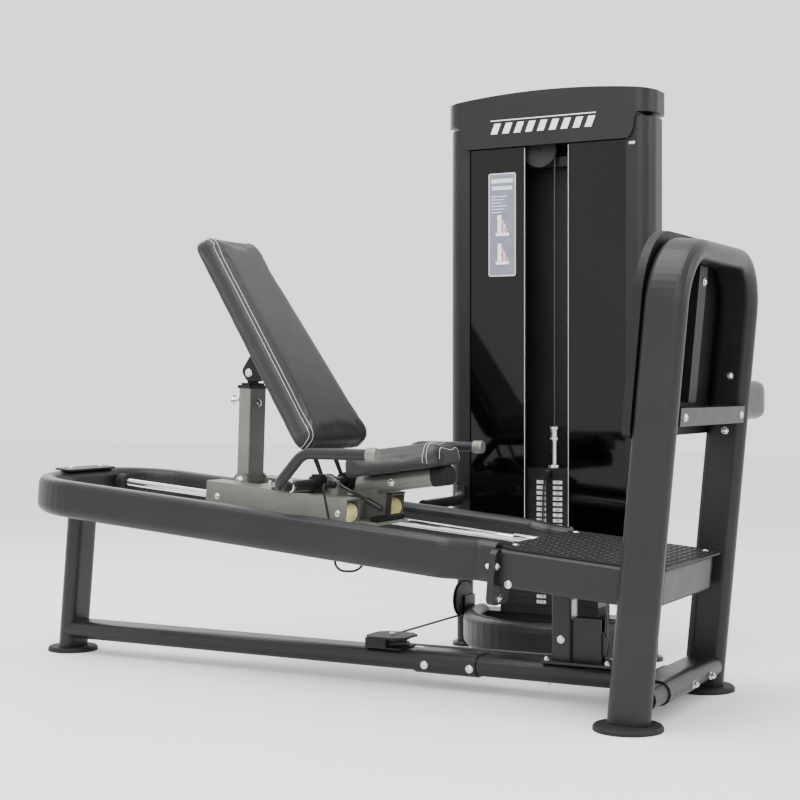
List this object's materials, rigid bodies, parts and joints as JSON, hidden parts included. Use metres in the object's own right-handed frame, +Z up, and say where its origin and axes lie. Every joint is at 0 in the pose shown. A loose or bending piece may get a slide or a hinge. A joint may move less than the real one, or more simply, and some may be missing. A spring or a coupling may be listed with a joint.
{
  "type": "leg press machine",
  "caption": "Selectorised leg press: a reclining seat carriage on inclined rails pushes away from a fixed footplate and lifts the weights of a covered tower by cable.",
  "frame": {"origin": "on the floor, under the middle of the machine's overall length and width", "axes": "+X along the machine from the seat towards the footplate, +Y across towards the weight tower, +Z up"},
  "size_m": [2.0132, 1.043, 1.6],
  "materials": {
    "frame_paint": "satin charcoal black powder coat on bent flat oval steel tube",
    "dark_plate": "matt black powder coat on cut plate",
    "silver_paint": "satin silver-grey powder coat",
    "chrome": "hard chrome plating, polished",
    "steel": "ground and oiled steel",
    "rubber": "matt moulded rubber",
    "leatherette": "stretched black leatherette with white twin stitching",
    "gloss_panel": "polished black acrylic sheet",
    "black_plastic": "satin black moulding",
    "urethane": "cast cream polyurethane",
    "nylon": "turned black nylon"
  },
  "bodies": {
    "base": {"loop_frame": "frame_paint", "rear_leg": "frame_paint", "low_beam_rear": "frame_paint", "low_beam_front": "frame_paint", "foot_frame": "frame_paint", "foot_cross_beam": "frame_paint", "foot_cross_bar": "frame_paint", "platform_frame": "frame_paint", "support_post": "frame_paint", "tower_frame": "frame_paint", "tower_brace": "frame_paint", "loop_brace": "frame_paint", "loop_end_plate": "dark_plate", "footplate": "dark_plate", "step_plate": "dark_plate", "beam_pulley_box": "dark_plate", "rail_near": "chrome", "rail_far": "chrome", "guide_rod_left": "chrome", "guide_rod_right": "chrome", "weight_stack": "steel", "main_cable": "steel", "foot_rear": "rubber", "foot_near": "rubber", "foot_far": "rubber", "stack_cushion": "rubber", "front_panel_left": "gloss_panel", "front_panel_right": "gloss_panel", "column_cover_left": "black_plastic", "column_cover_right": "black_plastic", "rear_cover": "black_plastic", "tower_cap": "black_plastic"},
    "carriage": {"carriage_frame": "silver_paint", "handle_bar": "frame_paint", "handle_cap_near": "silver_paint", "handle_cap_far": "silver_paint", "seat_tube": "silver_paint", "seat_pad": "leatherette", "release_cable": "rubber"},
    "roller_rear_near": {"roller_rear_near": "urethane"},
    "roller_rear_far": {"roller_rear_far": "urethane"},
    "roller_front_near": {"roller_front_near": "urethane"},
    "roller_front_far": {"roller_front_far": "urethane"},
    "release_lever": {"release_lever": "steel"},
    "back_post": {"back_post_outer": "silver_paint", "knob_sleeve": "dark_plate"},
    "back_post_inner": {"back_post_inner": "dark_plate"},
    "pull_knob": {"pull_knob": "chrome"},
    "backrest": {"backrest_frame": "dark_plate", "back_pad": "leatherette"},
    "lifted_weight": {"top_weight_plate": "steel", "selector_stem": "chrome"},
    "selector_pin": {"selector_pin": "steel"},
    "pulley_top_centre": {"pulley_top_centre": "nylon"},
    "pulley_top_side": {"pulley_top_side": "nylon"},
    "pulley_tower_foot": {"pulley_tower_foot": "nylon"},
    "pulley_beam_sheave": {"pulley_beam_sheave": "nylon"},
    "pulley_support_post": {"pulley_support_post": "nylon"},
    "pulley_platform": {"pulley_platform": "nylon"}
  },
  "joints": [
    {"name": "carriage_slide", "type": "slide", "parent": "base", "child": "carriage", "axis": [-0.9961, 0, 0.0882], "range_m": [0, 0.42]},
    {"name": "roll_rear_near", "type": "hinge", "parent": "carriage", "child": "roller_rear_near", "pos_m": [-0.32359, -0.2905, 0.47201], "axis": [0, 1, 0], "continuous": true},
    {"name": "roll_rear_far", "type": "hinge", "parent": "carriage", "child": "roller_rear_far", "pos_m": [-0.32359, -0.0545, 0.47201], "axis": [0, 1, 0], "continuous": true},
    {"name": "roll_front_near", "type": "hinge", "parent": "carriage", "child": "roller_front_near", "pos_m": [0.04297, -0.2905, 0.43957], "axis": [0, 1, 0], "continuous": true},
    {"name": "roll_front_far", "type": "hinge", "parent": "carriage", "child": "roller_front_far", "pos_m": [0.04297, -0.0545, 0.43957], "axis": [0, 1, 0], "continuous": true},
    {"name": "backrest_tilt", "type": "hinge", "parent": "carriage", "child": "backrest", "pos_m": [-0.05057, -0.1725, 0.51], "axis": [0, 1, 0], "range_deg": [0, 20]},
    {"name": "back_post_tilt", "type": "hinge", "parent": "carriage", "child": "back_post", "pos_m": [-0.32257, -0.1725, 0.508], "axis": [0, 1, 0], "range_deg": [0, 17.5]},
    {"name": "back_post_extend", "type": "slide", "parent": "back_post", "child": "back_post_inner", "axis": [0.0346, 0, 0.9994], "range_m": [0, 0.095]},
    {"name": "knob_pull", "type": "slide", "parent": "back_post", "child": "pull_knob", "axis": [-0.9994, 0, 0.0346], "range_m": [0, 0.012], "stiffness_N_per_m": 400, "springref_m": -0.006},
    {"name": "lever_lift", "type": "hinge", "parent": "carriage", "child": "release_lever", "pos_m": [0.00743, -0.2745, 0.51], "axis": [0, -1, 0], "range_deg": [0, 20]},
    {"name": "weight_lift", "type": "slide", "parent": "base", "child": "lifted_weight", "axis": [0, 0, 1], "range_m": [0, 0.42]},
    {"name": "pin_pull", "type": "slide", "parent": "lifted_weight", "child": "selector_pin", "axis": [0, -1, 0], "range_m": [0, 0.03]},
    {"name": "spin_top_centre", "type": "hinge", "parent": "base", "child": "pulley_top_centre", "pos_m": [0.26421, 0.43912, 1.44], "axis": [-0.1862, 0.9825, 0], "continuous": true},
    {"name": "spin_top_side", "type": "hinge", "parent": "base", "child": "pulley_top_side", "pos_m": [0.10464, 0.40888, 1.44], "axis": [-0.1862, 0.9825, 0], "continuous": true},
    {"name": "spin_tower_foot", "type": "hinge", "parent": "base", "child": "pulley_tower_foot", "pos_m": [0.06043, 0.3555, 0.148], "axis": [1, 0, 0], "continuous": true},
    {"name": "spin_beam_sheave", "type": "hinge", "parent": "base", "child": "pulley_beam_sheave", "pos_m": [0.10943, -0.1575, 0.103], "axis": [0, 0, 1], "continuous": true},
    {"name": "spin_support_post", "type": "hinge", "parent": "base", "child": "pulley_support_post", "pos_m": [0.67143, -0.1725, 0.137], "axis": [0, 1, 0], "continuous": true},
    {"name": "spin_platform", "type": "hinge", "parent": "base", "child": "pulley_platform", "pos_m": [0.66739, -0.1725, 0.28061], "axis": [0, 1, 0], "continuous": true}
  ],
  "couplings": [
    {"joint": "roll_rear_near", "follows": "carriage_slide", "rad_per_m": -40},
    {"joint": "roll_rear_far", "follows": "carriage_slide", "rad_per_m": -40},
    {"joint": "roll_front_near", "follows": "carriage_slide", "rad_per_m": -40},
    {"joint": "roll_front_far", "follows": "carriage_slide", "rad_per_m": -40},
    {"joint": "weight_lift", "follows": "carriage_slide", "ratio": 1},
    {"joint": "back_post_tilt", "follows": "backrest_tilt", "ratio": 0.868},
    {"joint": "back_post_extend", "follows": "backrest_tilt", "m_per_rad": 0.2672},
    {"joint": "spin_top_centre", "follows": "carriage_slide", "rad_per_m": -22.222},
    {"joint": "spin_top_side", "follows": "carriage_slide", "rad_per_m": -22.222},
    {"joint": "spin_tower_foot", "follows": "carriage_slide", "rad_per_m": -22.222},
    {"joint": "spin_beam_sheave", "follows": "carriage_slide", "rad_per_m": 25},
    {"joint": "spin_support_post", "follows": "carriage_slide", "rad_per_m": -29.412},
    {"joint": "spin_platform", "follows": "carriage_slide", "rad_per_m": -29.412}
  ]
}
